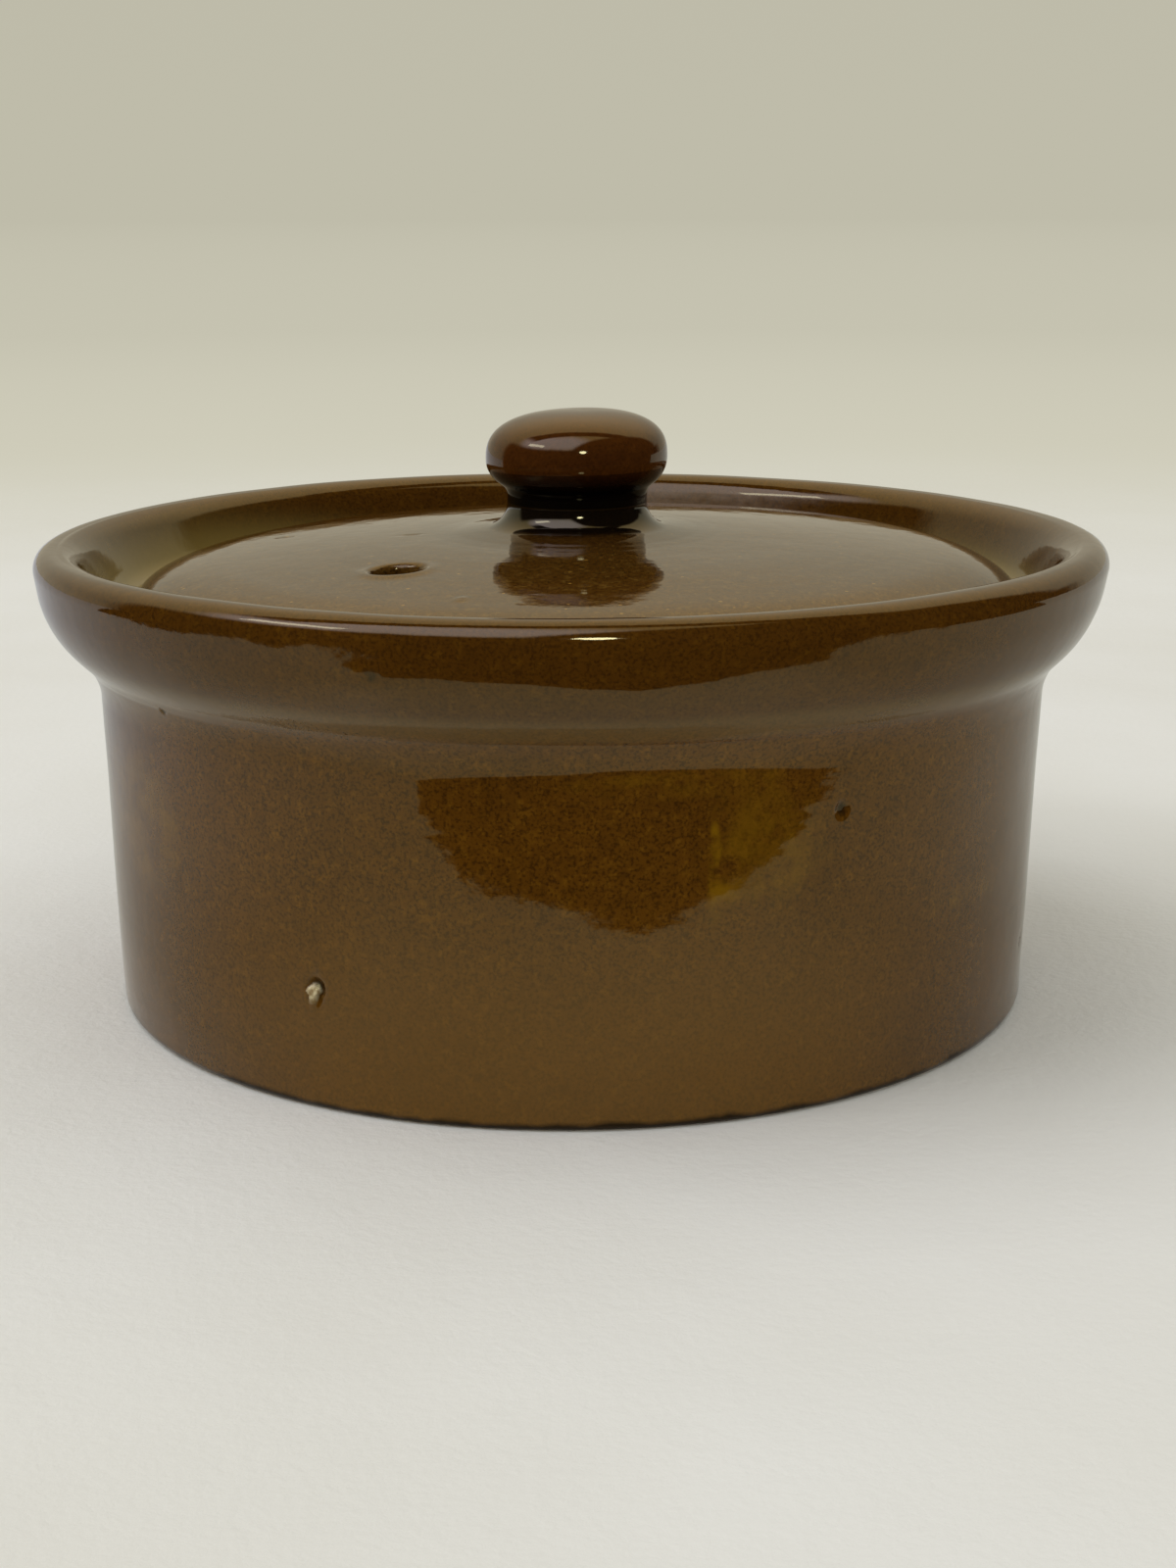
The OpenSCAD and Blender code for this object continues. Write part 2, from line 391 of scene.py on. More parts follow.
def stone_shape(theta, z, radius, grow=1.0):
    """1 on the grain of stone, a tilted square, and 0 round it."""
    place, size, _ = STONE
    across = radius * turned_from(theta, place[0]) / (size[0] * grow)
    up = (z - place[1]) / (size[1] * grow)
    a = across * math.cos(STONE_TILT) + up * math.sin(STONE_TILT)
    b = up * math.cos(STONE_TILT) - across * math.sin(STONE_TILT)
    return np.exp(-(a ** 4 + b ** 4) ** 3)


def crease_relief(theta, z):
    """The wavering crease under the collar, deepest at the front."""
    def wave(size, count, start):
        return size * np.sin(theta * count + start)

    height = CREASE_Z + wave(*CREASE_WAVES[0]) + wave(*CREASE_WAVES[1])
    front = np.exp(-(turned_from(theta, FRONT) / CREASE_TURN) ** 2)
    share = CREASE_BEHIND + (1 - CREASE_BEHIND) * front
    depth = (CREASE_DEPTH + wave(*CREASE_DEPTH_WAVE)) * share
    return -depth * np.exp(-((z - height) / CREASE_HALF) ** 2)


def wall_relief(theta, z, r):
    """How far the outside stands out from its true turned shape."""
    above_foot = np.clip((z - TRUE_FOOT) / UNEVEN_OVER, 0, 1)
    wander = wave_field(seed=11, count=10, round_waves=4, up_length=70, size=0.12)(theta, z)
    ripple = wave_field(seed=12, count=30, round_waves=30, up_length=16, size=0.012)(theta, z)
    rings = throwing_rings(z, theta, DISH_WIDE_RINGS, DISH_NARROW_RINGS, DISH_SWAY)
    flat = -FLAT_DEPTH * np.exp(-((z - FLAT_Z) / FLAT_HALF) ** 2 - (turned_from(theta, 0) / FLAT_TURN) ** 2)
    out = above_foot * (wander + ripple + rings + crease_relief(theta, z) + flat)
    for place, size, depth in (*PITS, SCUFF):
        out = out - depth * spot(theta, z, r, place, size, sharp=2.0)
        out = out + PIT_RIM * depth * spot(theta, z, r, place, grown(size, PIT_RIM_REACH))
    for place, size, height in (SWELLING, HOLLOW):
        out = out + height * spot(theta, z, r, place, size)
    return out + STONE[2] * stone_shape(theta, z, r)


def dish_pool(points):
    """Where the glaze has run together: the gallery, most of all at its left, and the edge of the floor."""
    r, theta, z = polar(points)
    to_right = np.cos(theta)
    aside = np.clip((np.abs(to_right) - ASIDE_FROM) / ASIDE_OVER, 0, 1)
    aside = aside * np.where(to_right < 0, 1.0, POOL_RIGHT)
    in_gallery = (r > CAVITY_R - 1) & (r < LIP_IN_R + 0.4)
    near_ledge = np.exp(-((z - LEDGE_Z - POOL_MIDDLE) / (POOL_H + POOL_H_ASIDE * aside)) ** 2)
    near_floor = np.exp(-((z - FLOOR_T - CORNER_H / 2) / CORNER_H) ** 2)
    in_corner = (r > CAVITY_R - CORNER_W) & (r < CAVITY_R + 0.5)
    gallery = (POOL_FRONT + (1 - POOL_FRONT) * aside) * near_ledge * in_gallery
    return np.clip(gallery + CORNER_SHARE * near_floor * in_corner, 0, 1)


def dish_stone(points):
    """Where the grain of stone shows."""
    r, theta, z = polar(points)
    return stone_shape(theta, z, r, grow=1.05) * (r > OUTSIDE_R)


def dish_pit_shade(points):
    """Painted shade at the bottoms of the pits."""
    r, theta, z = polar(points)
    dark = [spot(theta, z, r, place, grown(size, PIT_SHADE_REACH), sharp=2.0) for place, size, _ in PITS]
    return sum(dark) * (r > OUTSIDE_R)


def dish_honey(points):
    """Where the glaze on the wall lies thinner and yellower, in patches with uneven edges."""
    r, theta, z = polar(points)
    edge = 1 + 0.25 * np.sin(z * 1.3 + 2) * np.sin(theta * 40)
    patches = [k * spot(theta, z, r * edge, place, size, sharp=3.0) for place, size, k in HONEY_PATCHES]
    return np.clip(sum(patches), 0, 1) * (r > OUTSIDE_R)


def make_dish(materials):
    """Turned dish with an uneven outside; the second material is for the bare foot."""
    fine_heights = [mark[0][1] for mark in (STONE_PIT, DIMPLE, COLLAR_NICK)]
    fine_degrees = [mark[0][0] for mark in (STONE_PIT, DIMPLE, COLLAR_PIT, COLLAR_NICK)] + [HONEY_STREAK[0]]
    outline = refine(dish_outline(), DISH_GAP, fine_heights, DISH_GAP_INSIDE)
    normal = normals_of(outline)[1:-1]
    v = lengths_along(outline, 0, 1)
    r, z = outline[1:-1, :1], outline[1:-1, 1:]
    theta = np.radians(angle_steps(DISH_STEPS, fine_degrees))[None, :]
    outside = (normal[:, :1] > OUTSIDE_NORMAL) & (r > OUTSIDE_R)
    move = np.where(outside, wall_relief(theta, z, r), 0)
    uneven_r = r + normal[:, :1] * move
    uneven_z = np.maximum(z + normal[:, 1:] * move, 0)
    skin = Skin()
    skin.add(np.stack([uneven_r * np.cos(theta), uneven_r * np.sin(theta), uneven_z], -1))
    low, high = skin.add((0, 0, FOOT_HOLLOW)), skin.add((0, 0, FLOOR_T))
    rows, count = uneven_r.shape
    index = np.arange(rows * count).reshape(rows, count)
    middle = (outline[1:-2] + outline[2:-1]) / 2
    bare = (middle[:, 1] < FOOT_HOLLOW + BARE_OVER) & (middle[:, 0] < FOOT_R - FOOT_EDGE / 2)
    skin.rings(index, v[1:-1], material=np.repeat(bare.astype(int), count))
    skin.fan(low, index[0], v[0], v[1], material=1)
    skin.fan(high, index[-1], v[-1], v[-2], flip=True)
    return skin.make("dish_glazed", "dish_body", "dish", materials, {
        "pool_and_shade": dish_pool, "stone": dish_stone, "honey": dish_honey, "pit_shade": dish_pit_shade,
    })


# Lid

# Its mesh: gaps between points on the dome, on its edge and ring and on the flare. Then steps of its
# underside's middle, of its shoulder and round the axis
DOME_GAP, EDGE_GAP, FLARE_GAP = 0.8, 1.4, 0.45
MIDDLE_STEPS, SHOULDER_STEPS, LID_STEPS = 16, 25, 288
# Finer steps round a mark, in degrees: half their reach, and their size
LID_FINE_HALF, LID_FINE = 3.0, 0.3
# Texture heights of the turned skin, of the vent and of the middle of a top
LID_V, VENT_V, POLE_V = (0.13, 0.98), (0.02, 0.11), 0.999

# Marks on the lid: (distance from the middle, degrees), half sizes, height, in mm
LID_MARKS = (
    ((44.0, -108.0), (0.8, 0.6), 0.25),
    ((40.7, 167.6), (0.6, 0.6), -0.2),
    ((21.9, -176.4), (1.2, 0.6), -0.12),
)
# Throwing rings: height, radians per mm, start. Then the sway of the wide ones, and one slow spiral
LID_WIDE_RINGS, LID_NARROW_RINGS, LID_SWAY = (0.004, 2.6, 0.0), (0.002, 4.1, 2.0), 0.5
SPIRAL_H, SPIRAL_K = 0.004, 1.3
# Widths on top: the smooth edge, the band where it grows uneven, both again at the neck, the lean's band
SMOOTH_EDGE, UNEVEN_IN, SMOOTH_NECK, UNEVEN_OUT, LEAN_OVER = 1.5, 4, 3, 14, 8

# The clay pushed up round the vent: height, half its width, its share at the sides, what the front adds
VENT_LIP, VENT_LIP_HALF, VENT_LIP_ASIDE, VENT_LIP_FRONT = 0.3, 0.8, 0.45, 0.55
# The patch round the vent with rings of its own, in both skins: its radius, its rings as (radius, share of
# the patch's uneven edge that a ring still follows), turns at the mouth in degrees, and steps down the vent
PATCH_R = 8.0
PATCH_RINGS = ((7.0, 0.7), (6.2, 0.4), (5.5, 0.15), (4.9, 0.0), (4.5, 0.0))
MOUTH_STEP, BORE_STEPS = 15, 7
# How far inside the vent the rings begin that both skins share, the gaps to the next ones below and above,
# and the radius of the underside's first ring
SHARED_REACH, GAP_BELOW, GAP_ABOVE, MIDDLE_R = 12, 1, 0.6, 2
# Rounding inside the centring ring, and of the dome into the flare round the knob
RING_ROOT, FLARE_ROOT = 1.2, 60.0
# Nearly black on the flare under the knob, gathered glaze darkened as painted shade: radius where it begins,
# and width of its edge
FLARE_SHADE_R, FLARE_SHADE_EDGE = 12.2, 1.4


def dome_z(r):
    """Height of the dome, without its shoulder, at a distance from the middle."""
    return LID_TOP_Z - DOME_R + np.sqrt(DOME_R ** 2 - r ** 2)


def lid_relief(x, y):
    """Height of the throwing rings, marks and other unevenness on top of the dome."""
    r, theta = np.hypot(x, y), np.arctan2(y, x)
    fade = np.clip((LID_R - SMOOTH_EDGE - r) / UNEVEN_IN, 0, 1)
    fade = fade * np.clip((r - NECK_R - SMOOTH_NECK) / UNEVEN_OUT, 0, 1)
    rings = throwing_rings(r, theta, LID_WIDE_RINGS, LID_NARROW_RINGS, LID_SWAY)
    spiral = SPIRAL_H * np.sin(r * SPIRAL_K + theta)
    wander = wave_field(seed=21, count=10, round_waves=3, up_length=50, size=0.05)(theta, r)
    ripple = wave_field(seed=22, count=24, round_waves=20, up_length=16, size=0.005)(theta, r)
    lean = LID_LEAN * x * np.clip((LID_R - r) / LEAN_OVER, 0, 1) * np.clip((r - NECK_R) / LEAN_OVER, 0, 1)
    out = fade * (rings + spiral + wander + ripple) + lean
    dx, dy = x - VENT_AT[0], y - VENT_AT[1]
    off = np.hypot(dx, dy) + 1e-6
    to_camera = VENT_LIP_ASIDE - VENT_LIP_FRONT * dy / off
    out = out + VENT_LIP * np.exp(-((off - VENT_R - VENT_EDGE) / VENT_LIP_HALF) ** 2) * to_camera
    for (reach, degrees), size, height in LID_MARKS:
        dx = (x - reach * math.cos(math.radians(degrees))) / size[0]
        dy = (y - reach * math.sin(math.radians(degrees))) / size[1]
        out = out + height * np.exp(-dx * dx - dy * dy)
    return out


def lid_rows():
    """Rings of the lid in four parts: its underside from the middle, its ring and edge, its top, its seat."""
    shared = np.arange(VENT_REACH - SHARED_REACH, LID_SHOULDER_R - DOME_GAP / 2, DOME_GAP)
    below = np.concatenate([np.linspace(MIDDLE_R, shared[0] - GAP_BELOW, MIDDLE_STEPS), shared])
    dome_in, flare_out = shared[0] - GAP_ABOVE, NECK_R + 2 * SEAT_RISE
    above = np.concatenate([[dome_in], shared])[::-1]
    under = np.stack([below, dome_z(below) - LID_T], 1)
    side = rounded([
        (*under[-1], 0),
        (FLANGE_IN_R, dome_z(FLANGE_IN_R) - LID_T, RING_ROOT),
        (FLANGE_IN_R, FLANGE_Z, FLANGE_T / 3),
        (FLANGE_R, FLANGE_Z, FLANGE_T / 3),
        (FLANGE_R, LEDGE_Z, LID_CLEARANCE / 2),
        (LID_R, LEDGE_Z, LID_ROUND),
        (LID_R, LID_EDGE_Z, 0),
    ])
    turn = np.radians(np.linspace(90, 0, SHOULDER_STEPS + 1))[1:]
    shoulder_r = LID_SHOULDER_R + LID_SHOULDER_W * np.sin(turn)
    shoulder = np.stack([shoulder_r, dome_z(shoulder_r) - LID_SHOULDER_FALL * (1 - np.cos(turn))], 1)
    top = np.concatenate([shoulder, np.stack([above, dome_z(above)], 1)])
    seat = rounded([
        (dome_in, dome_z(dome_in), 0),
        (flare_out, dome_z(flare_out), FLARE_ROOT),
        (NECK_R, dome_z(NECK_R) + SEAT_POOL, SEAT_RISE),
        (NECK_R, SEAT_Z, 0),
    ])
    return under, refine(side, EDGE_GAP)[1:], top, refine(seat, FLARE_GAP)[1:]


def patch_edge(left_out, index, x, y):
    """Points round the cells that one skin of the dome leaves out, in order round the vent."""
    corners = np.zeros(index.shape, int)
    for up in (0, 1):
        for across in (0, 1):
            corners[up:up + len(left_out)] += np.roll(left_out, across, 1)
    edge = index[(corners > 0) & (corners < 4)]
    return edge[np.argsort(np.arctan2(y.ravel()[edge] - VENT_AT[1], x.ravel()[edge] - VENT_AT[0]))]


def vent_rings(edge):
    """Rings of points down through the vent. edge is the patch's edge on top, from the vent's middle."""
    start = np.hypot(edge[:, 0], edge[:, 1])
    direction = edge / start[:, None]
    mouth = [(ring_r + (start - PATCH_R) * share, 0.0) for ring_r, share in PATCH_RINGS]
    for turn in np.radians(np.arange(0, 91, MOUTH_STEP)):
        reach = np.full(len(edge), VENT_R + VENT_EDGE * (1 - math.sin(turn)))
        mouth.append((reach, VENT_EDGE * (1 - math.cos(turn))))

    def ring(reach, drop, on_top):
        x, y = (VENT_AT + direction * reach[:, None]).T
        z = dome_z(np.hypot(x, y))
        z = z + lid_relief(x, y) - drop if on_top else z - LID_T + drop
        return np.column_stack([x, y, z])

    above = [ring(reach, drop, True) for reach, drop in mouth]
    below = [ring(reach, drop, False) for reach, drop in mouth[::-1]]
    bore = [above[-1] * (1 - t) + below[0] * t for t in np.linspace(0, 1, BORE_STEPS + 1)[1:-1]]
    return above + bore + below


def lid_pool_shade(points):
    """Nearly black on the flare round the foot of the knob: gathered glaze, darkened as painted shade under the
    bulb.
    """
    r = np.hypot(points[:, 0] - LID_SHIFT, points[:, 1])
    return np.clip((FLARE_SHADE_R - r) / FLARE_SHADE_EDGE, 0, 1) * (points[:, 2] > LID_TOP_Z - 1)


def lid_under(points):
    """1 on the lid's underside, inside its ring."""
    r, _, z = polar(points)
    return (z < dome_z(np.minimum(r, LID_R)) - LID_T / 2) * (r < LID_R - 2) * 1.0


def make_lid(materials):
    """Turned lid with an uneven top and a real vent, moved to where it lies in the gallery."""
    parts = lid_rows()
    n_under, n_side, n_top, _ = (len(part) for part in parts)
    under, top = slice(0, n_under), slice(n_under + n_side, n_under + n_side + n_top)
    outline = np.concatenate(parts)
    fine_degrees = [degrees for (_, degrees), _, _ in LID_MARKS]
    theta = np.radians(angle_steps(LID_STEPS, fine_degrees, LID_FINE_HALF, LID_FINE))
    rows, count = len(outline), len(theta)
    x = outline[:, :1] * np.cos(theta)
    y = outline[:, :1] * np.sin(theta)
    z = np.repeat(outline[:, 1:], count, 1)
    z[top.start:] += lid_relief(x[top.start:], y[top.start:])
    skin = Skin()
    skin.add(np.stack([x, y, z], -1))
    low, high = skin.add((0, 0, dome_z(0) - LID_T)), skin.add((0, 0, SEAT_Z))
    index = np.arange(rows * count).reshape(rows, count)
    # the cells of both skins that lie in the patch are left out, and rings through the vent fill it
    near = np.hypot(x - VENT_AT[0], y - VENT_AT[1]) < PATCH_R
    left_out = near & np.roll(near, -1, 1)
    left_out = left_out[:-1] & left_out[1:]
    skin.rings(index, lengths_along(outline, *LID_V), keep=~left_out.ravel())
    upper = patch_edge(left_out[top.start:top.stop - 1], index[top], x, y)
    lower = patch_edge(left_out[under.start:under.stop - 1], index[under], x, y)
    rings = vent_rings(np.stack([x.ravel()[upper], y.ravel()[upper]], 1) - VENT_AT)
    first = skin.add(np.concatenate(rings))
    between = first + np.arange(len(rings) * len(upper)).reshape(len(rings), -1)
    vent_index = np.concatenate([[upper], between, [lower]])
    skin.rings(vent_index, np.linspace(*VENT_V, len(vent_index)))
    skin.fan(low, index[0], LID_V[0], LID_V[0])
    skin.fan(high, index[-1], POLE_V, LID_V[1], flip=True)
    skin.sharp = index[-1]
    for block in skin.points:
        block[:, 0] += LID_SHIFT
    tones = {"pool_and_shade": lid_pool_shade, "under": lid_under}
    return skin.make("lid_glazed", "lid_body", "lid", materials, tones)


# Knob

# Its mesh: steps below and above its widest part and round the axis, and the gap between points on the neck
KNOB_LOW_STEPS, KNOB_TOP_STEPS, KNOB_STEPS, NECK_GAP = 13, 43, 192, 0.4
# Texture heights of its foot and of its skin
FOOT_V, KNOB_V = 0.02, (0.1, 0.98)
# How far its right side is raised, as a share of its radius, and the middle of its top above the last ring
KNOB_LEAN, KNOB_CROWN = 0.022, 0.01
# How far below its widest part the darker copy of the glaze begins: thick glaze with painted shade under the
# bulb
KNOB_UNDER = 1.0
# Where the neck is painted nearly black, thick glaze darkened further as painted shade: height above the neck
# where it begins, and height of its edge
KNOB_POOL_SHADE_H, KNOB_POOL_SHADE_EDGE = 3.0, 2.4


def knob_outline():
    """Half section of the knob, from its seat up the neck and over the bulb, short of its middle."""
    power = 2 / KNOB_FULLNESS
    neck_turn = math.acos(NECK_R / KNOB_R)
    low_axis = KNOB_LOW_H / math.sin(neck_turn)
    low = np.linspace(neck_turn * 2 / 3, 0, KNOB_LOW_STEPS + 1)[:-1]
    top = np.radians(np.linspace(0, 90, KNOB_TOP_STEPS + 1))[:-1]
    bulb_low = np.stack([KNOB_R * np.cos(low), WIDEST_Z - low_axis * np.sin(low)], 1)
    bulb_top = np.stack([KNOB_R * np.cos(top) ** power, WIDEST_Z + KNOB_TOP_H * np.sin(top) ** power], 1)
    neck = rounded([(NECK_R, SEAT_Z, 0), (NECK_R, NECK_TOP_Z, NECK_FILLET), (*bulb_low[0], 0)])
    return np.concatenate([refine(neck, NECK_GAP)[:-1], bulb_low, bulb_top])


def knob_pool_shade(points):
    """Nearly black in the hollow of the neck: thick glaze, darkened further as painted shade under the bulb."""
    return np.clip((NECK_TOP_Z + KNOB_POOL_SHADE_H - points[:, 2]) / KNOB_POOL_SHADE_EDGE, 0, 1)


def make_knob(materials):
    """Turned knob, a little uneven and leaning; the second material, a darker copy with painted shade, is for
    its underside and neck.
    """
    outline = knob_outline()
    theta = np.radians(np.arange(KNOB_STEPS) * 360 / KNOB_STEPS)[None, :]
    r, z = outline[:, :1], outline[:, 1:]
    above_seat = np.clip((z - SEAT_Z) / 2, 0, 1)
    wander = wave_field(seed=31, count=6, round_waves=3, up_length=14, size=0.004)(theta, z)
    rise = wave_field(seed=32, count=6, round_waves=2, up_length=14, size=0.02)(theta, z)
    r = r * (1 + above_seat * wander)
    lean = KNOB_LEAN * r * np.cos(theta) * np.clip((z - NECK_TOP_Z) / KNOB_LOW_H, 0, 1)
    z = z + lean + above_seat * rise
    skin = Skin()
    skin.add(np.stack([r * np.cos(theta) + LID_SHIFT, r * np.sin(theta), z], -1))
    top_z = float(z[-1].mean()) + KNOB_CROWN
    foot, top = skin.add((LID_SHIFT, 0, SEAT_Z)), skin.add((LID_SHIFT, 0, top_z))
    rows, count = r.shape
    index = np.arange(rows * count).reshape(rows, count)
    under = (outline[:-1, 1] + outline[1:, 1]) / 2 < WIDEST_Z - KNOB_UNDER
    skin.rings(index, lengths_along(outline, *KNOB_V), material=np.repeat(under.astype(int), count))
    skin.fan(foot, index[0], FOOT_V, KNOB_V[0], material=1)
    skin.fan(top, index[-1], POLE_V, KNOB_V[1], flip=True)
    skin.sharp = index[0]
    return skin.make("knob_glazed", "lid_body", "lid_knob", materials, {"pool_and_shade": knob_pool_shade})


# Materials

class Nodes:
    """Short way to write a node tree."""

    def __init__(self, tree):
        self.tree = tree

    def add(self, kind, inputs=None, **settings):
        """New shader node with its settings and inputs, which are values or other nodes' outputs."""
        node = self.tree.nodes.new("ShaderNode" + kind)
        for key, value in settings.items():
            setattr(node, key, value)
        for key, value in (inputs or {}).items():
            self.put(node.inputs[key], value)
        return node

    def put(self, socket, value):
        """Sets a socket to a value, or links it to another node's output."""
        if isinstance(value, bpy.types.NodeSocket):
            self.tree.links.new(value, socket)
        else:
            socket.default_value = value

    def span(self, value, low, high, to_low=0.0, to_high=1.0, how="LINEAR"):
        """Value from low to high, sent to another range."""
        inputs = {"Value": value, "From Min": low, "From Max": high, "To Min": to_low, "To Max": to_high}
        return self.add("MapRange", inputs, interpolation_type=how).outputs["Result"]

    def soft(self, value, low, high):
        """0 at low to 1 at high, with soft ends; low may be the greater."""
        return self.span(value, low, high, how="SMOOTHSTEP")

    def mix(self, share, a, b):
        """Colour a, or b where the share is 1."""
        node = self.add("Mix", data_type="RGBA")
        for socket, value in ((node.inputs[0], share), (node.inputs[6], a), (node.inputs[7], b)):
            self.put(socket, value)
        return node.outputs[2]

    def math(self, how, a, b=0.5):
        return self.add("Math", {0: a, 1: b}, operation=how).outputs[0]

    def times(self, a, b):
        return self.math("MULTIPLY", a, b)

    def plus(self, a, b):
        return self.math("ADD", a, b)

    def greatest(self, first, *others):
        for other in others:
            first = self.math("MAXIMUM", first, other)
        return first


class Material(Nodes):
    """Material with one principled shader."""

    def __init__(self, name):
        self.material = bpy.data.materials.new(name)
        self.material.use_nodes = True
        super().__init__(self.material.node_tree)
        self.shader = self.tree.nodes["Principled BSDF"]
        self.where = self.add("TexCoord").outputs["Object"]

    def set(self, key, value):
        self.put(self.shader.inputs[key], value)

    def place(self):
        """Outputs x, y and z of a point, in metres."""
        return self.add("SeparateXYZ", {0: self.where}).outputs

    def noise(self, scale, detail=3.0, roughness=0.55):
        """Soft noise about 0.5, with so many waves per metre."""
        inputs = {"Vector": self.where, "Scale": scale, "Detail": detail, "Roughness": roughness}
        return self.add("TexNoise", inputs).outputs["Fac"]

    def dots(self, scale, size):
        """1 in scattered round dots, whose radius is at most a share of their spacing."""
        cells = self.add("TexVoronoi", {"Vector": self.where, "Scale": scale})
        chance = self.add("SeparateColor", {0: cells.outputs["Color"]}).outputs[0]
        reach = self.span(chance, 0.35, 1.0, 0.0, size)
        return self.soft(self.math("SUBTRACT", cells.outputs["Distance"], reach), 0.05, -0.05)

    def tone(self, name):
        """What the mesh says of a point under a name."""
        return self.add("Attribute", attribute_name=name).outputs["Fac"]

    def paint(self, mask, colour, share=1.0):
        """Lays a colour, at this share where the mask is 1, over what the base colour already shows."""
        old = self.shader.inputs["Base Color"].links[0].from_socket
        self.set("Base Color", self.mix(self.times(mask, share), old, colour))

    def bump(self, height, strength):
        inputs = {"Height": height, "Strength": strength, "Distance": BUMP_HEIGHT}
        self.set("Normal", self.add("Bump", inputs).outputs["Normal"])


def linear(value):
    """Linear light from one sRGB value of 0 to 255."""
    if value <= 10:
        return value / 255 / 12.92
    return ((value / 255 + 0.055) / 1.055) ** 2.4


def rgb(r, g, b):
    """Linear colour from sRGB values of 0 to 255."""
    return (linear(r), linear(g), linear(b), 1)


# Waves per metre of the glaze's clouds, mottles, golden specks, flecks, gloss and surface
CLOUDS, MOTTLES, SPECKS, FLECKS, GLOSS, PEEL = 42, 420, 900, 2500, 220, 240
# Cells per metre of its golden dots and iron spots, and the size of both as a share of a cell
GOLD_DOTS, IRON_SPOTS, DOT_SIZE = 640, 130, 0.1
MOTTLE_SHARE, IRON_SHARE = 0.22, 0.4
GLAZE_ROUGHNESS, GLAZE_IOR, GLAZE_TINT = (0.035, 0.075), 1.52, (1.0, 0.94, 0.56, 1)
# Height of all bumps, in metres
BUMP_HEIGHT = 0.0004

# Where colours of the dish begin and are full, in metres: low on the wall and at its front, up the collar,
# and into the hollow under the collar from below and from above
LOW_Z, FRONT_Y = (0.032, 0.006), (-0.038, -0.06)
COLLAR_DARK = (0.0455, 0.0495)
HOLLOW_FROM_BELOW, HOLLOW_FROM_ABOVE = (0.0456, 0.0472), (0.0502, 0.0484)
# How far the end of the glaze wavers, in metres, and how dark the painted line of shade below it is
END_WAVER, END_SHADE_SHARE = 0.0004, 0.9
# Where the lid darkens towards the knob, in metres from the middle. Then its golden dots
LID_DARK = (0.023, 0.014)
LID_DOTS, LID_DOT_SIZE = 520, 0.14


def glaze(name, base, warm, dark, gold, gold_share=0.45, fleck_share=0.8):
    """Glossy treacle glaze: clouds and mottles of colour, golden specks, fine dark flecks and iron spots."""
    n = Material(name)
    fleck = n.noise(FLECKS, 2)
    n.set("Base Color", n.mix(n.span(n.noise(CLOUDS, 5), 0.36, 0.66), base, warm))
    n.paint(n.span(n.noise(MOTTLES), 0.5, 0.72), dark, MOTTLE_SHARE)
    n.paint(n.span(n.noise(SPECKS, 2), 0.52, 0.74), gold, gold_share)
    n.paint(n.span(fleck, 0.46, 0.66), dark, fleck_share)
    n.paint(n.dots(GOLD_DOTS, DOT_SIZE), gold, gold_share)
    n.paint(n.dots(IRON_SPOTS, DOT_SIZE), dark, IRON_SHARE)
    n.set("Roughness", n.span(n.noise(GLOSS), 0.3, 0.7, *GLAZE_ROUGHNESS))
    n.set("IOR", GLAZE_IOR)
    n.set("Specular Tint", GLAZE_TINT)
    n.bump(n.plus(n.noise(PEEL, 2), n.times(fleck, 0.06)), 0.1)
    return n


def dish_glaze():
    n = glaze("dish_glaze", base=rgb(82, 50, 9), warm=rgb(90, 56, 12), dark=rgb(38, 20, 4),
              gold=rgb(122, 82, 18), gold_share=0.38, fleck_share=0.65)
    _, back, height = n.place()
    low_front = n.times(n.soft(height, *LOW_Z), n.soft(back, *FRONT_Y))
    n.paint(low_front, n.mix(n.noise(CLOUDS, 4), rgb(100, 65, 10), rgb(110, 72, 15)), 0.5)
    n.paint(n.soft(height, *COLLAR_DARK), rgb(52, 29, 4), 0.45)
    under_collar = n.times(n.soft(height, *HOLLOW_FROM_BELOW), n.soft(height, *HOLLOW_FROM_ABOVE))
    n.paint(under_collar, rgb(118, 98, 48), 0.25)
    n.paint(n.times(n.tone("honey"), n.span(n.noise(300), 0.36, 0.62, 0.05, 1.0)), rgb(118, 84, 10))
    # painted shade: the bottoms of the pits darkened
    n.paint(n.tone("pit_shade"), rgb(24, 14, 6), 0.85)
    n.paint(n.tone("pool_and_shade"), rgb(138, 118, 63))
    # painted shade: a dark line round the foot where it meets the cloth, where the glaze also mirrors less
    end = n.plus(height, n.span(n.noise(160), 0.3, 0.7, -END_WAVER, END_WAVER))
    end_shade = n.span(end, GLAZE_END_Z * MM, GLAZE_END_Z * 2 * MM, END_SHADE_SHARE, 0.0)
    n.paint(end_shade, rgb(26, 20, 14))
    n.set("Specular IOR Level", n.span(end_shade, 0.0, END_SHADE_SHARE, 0.5, 0.1))
    grain = n.span(n.noise(1300, 2), 0.4, 0.6)
    n.paint(n.tone("stone"), n.mix(grain, rgb(150, 128, 90), rgb(212, 198, 162)))
    return n.material


